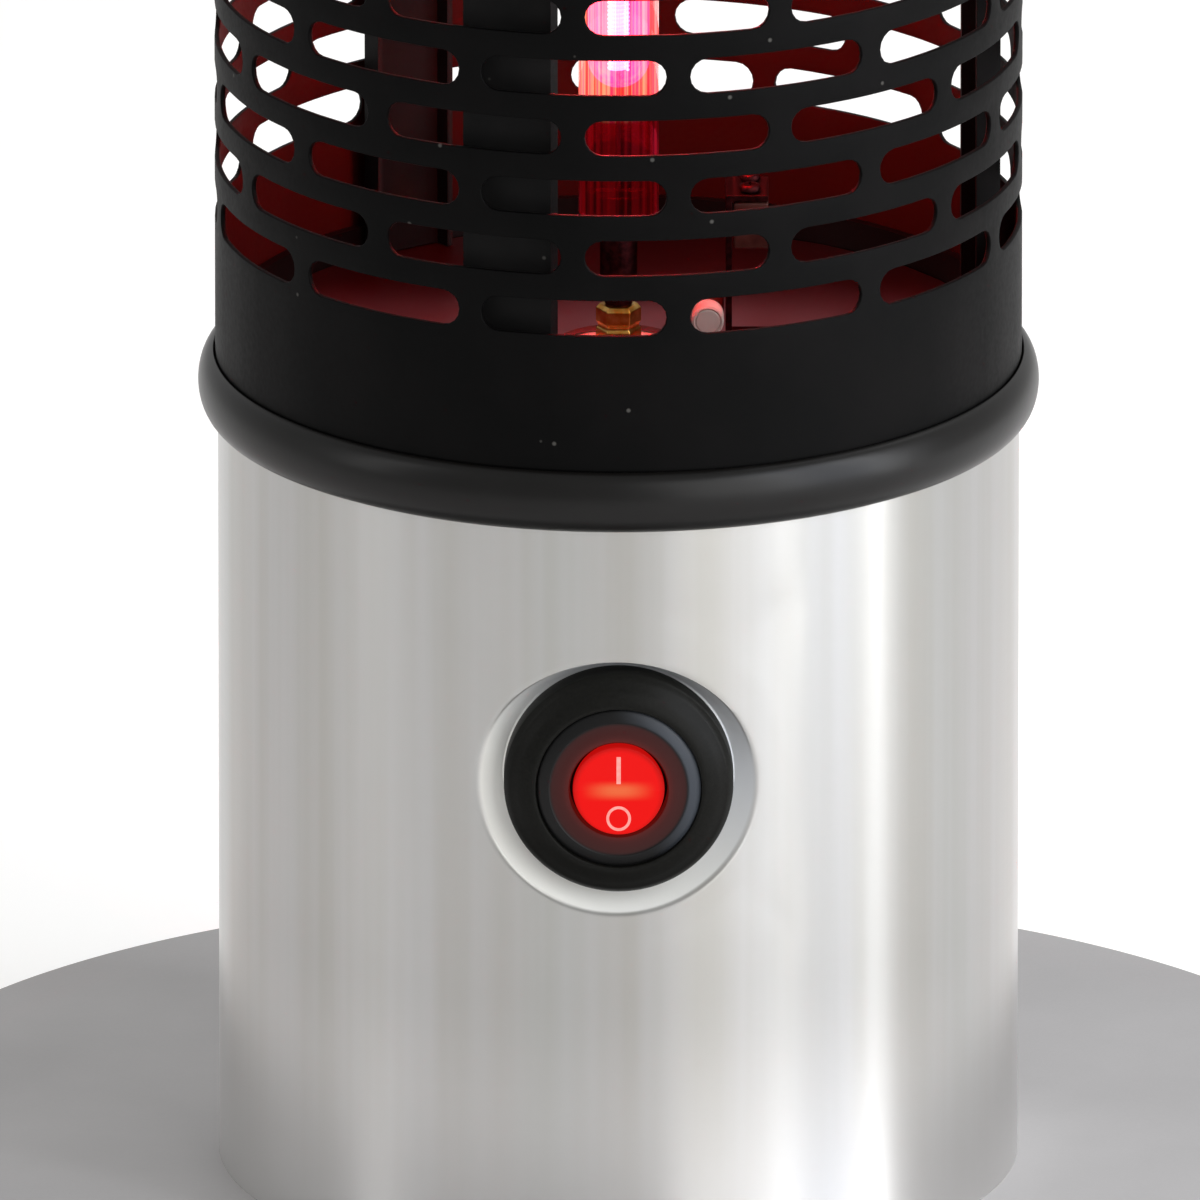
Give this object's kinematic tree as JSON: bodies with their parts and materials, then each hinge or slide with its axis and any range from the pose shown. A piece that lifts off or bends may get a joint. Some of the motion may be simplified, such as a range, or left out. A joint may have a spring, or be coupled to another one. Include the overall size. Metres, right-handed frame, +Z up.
{
  "type": "infrared patio heater",
  "caption": "Floor or table standing infrared heater: round plate, steel column with a lit rocker switch, slotted round guard about an upright ruby lamp.",
  "frame": {"origin": "on the floor, under the middle of the round base", "axes": "+Z up the column, -Y towards the front, where the switch is"},
  "size_m": [0.3, 0.3, 0.519],
  "materials": {
    "brushed_steel": "vertical satin brushing",
    "base_grey": "flat satin grey",
    "plain_steel": "mill finish",
    "zinc_screws": "zinc plated",
    "black_paint": "heat resisting matt",
    "ring_paint": "satin",
    "reflector_steel": "bright reflector",
    "black_plastic": "fine matt",
    "smoked_silicone": "glossy smoked silicone",
    "red_lens": "lit translucent",
    "black_rubber": "matt",
    "ceramic": "unglazed",
    "lamp_nickel": "plated",
    "ruby_quartz": "clear ruby",
    "filament_glow": "white hot",
    "tinned_brass": "tinned"
  },
  "bodies": {
    "heater": {"base_plate": "base_grey", "base_screw_1": "zinc_screws", "base_screw_2": "zinc_screws", "base_screw_3": "zinc_screws", "base_screw_4": "zinc_screws", "body_shell": "brushed_steel", "bracket_screw_1": "zinc_screws", "bracket_screw_2": "zinc_screws", "cap_screw_1": "zinc_screws", "cap_screw_2": "zinc_screws", "cap_screw_3": "zinc_screws", "floor_plate": "reflector_steel", "foot_1": "black_rubber", "foot_2": "black_rubber", "foot_3": "black_rubber", "foot_4": "black_rubber", "foot_ring": "plain_steel", "fuse_bracket": "plain_steel", "gland_body": "black_plastic", "gland_nut": "black_plastic", "gland_seal": "black_rubber", "guard": "black_paint", "holder_screw_lower_1": "zinc_screws", "holder_screw_lower_2": "zinc_screws", "holder_screw_upper_1": "zinc_screws", "holder_screw_upper_2": "zinc_screws", "lamp_end_lower": "lamp_nickel", "lamp_end_upper": "lamp_nickel", "lamp_filament": "filament_glow", "lamp_holder_lower": "ceramic", "lamp_holder_upper": "ceramic", "lamp_terminal": "ceramic", "lamp_tube": "ruby_quartz", "post_1": "black_paint", "post_2": "black_paint", "post_3": "black_paint", "shell_screw_1": "zinc_screws", "shell_screw_2": "zinc_screws", "shell_screw_3": "zinc_screws", "switch_bezel": "black_plastic", "switch_blade_1": "tinned_brass", "switch_blade_2": "tinned_brass", "switch_blade_3": "tinned_brass", "switch_boot": "smoked_silicone", "switch_housing": "black_plastic", "switch_nut": "black_plastic", "terminal_block": "ceramic", "thermal_fuse": "ceramic", "tilt_switch": "black_plastic", "top_cap": "brushed_steel", "top_plate": "reflector_steel", "trim_ring_lower": "ring_paint", "trim_ring_upper": "ring_paint", "wiring_plate": "plain_steel"},
    "rocker": {"switch_rocker": "red_lens"}
  },
  "joints": [
    {"name": "switch_rock", "type": "hinge", "parent": "heater", "child": "rocker", "pos_m": [0, -0.0795, 0.109], "axis": [1, 0, 0], "range_deg": [0, 16]}
  ]
}
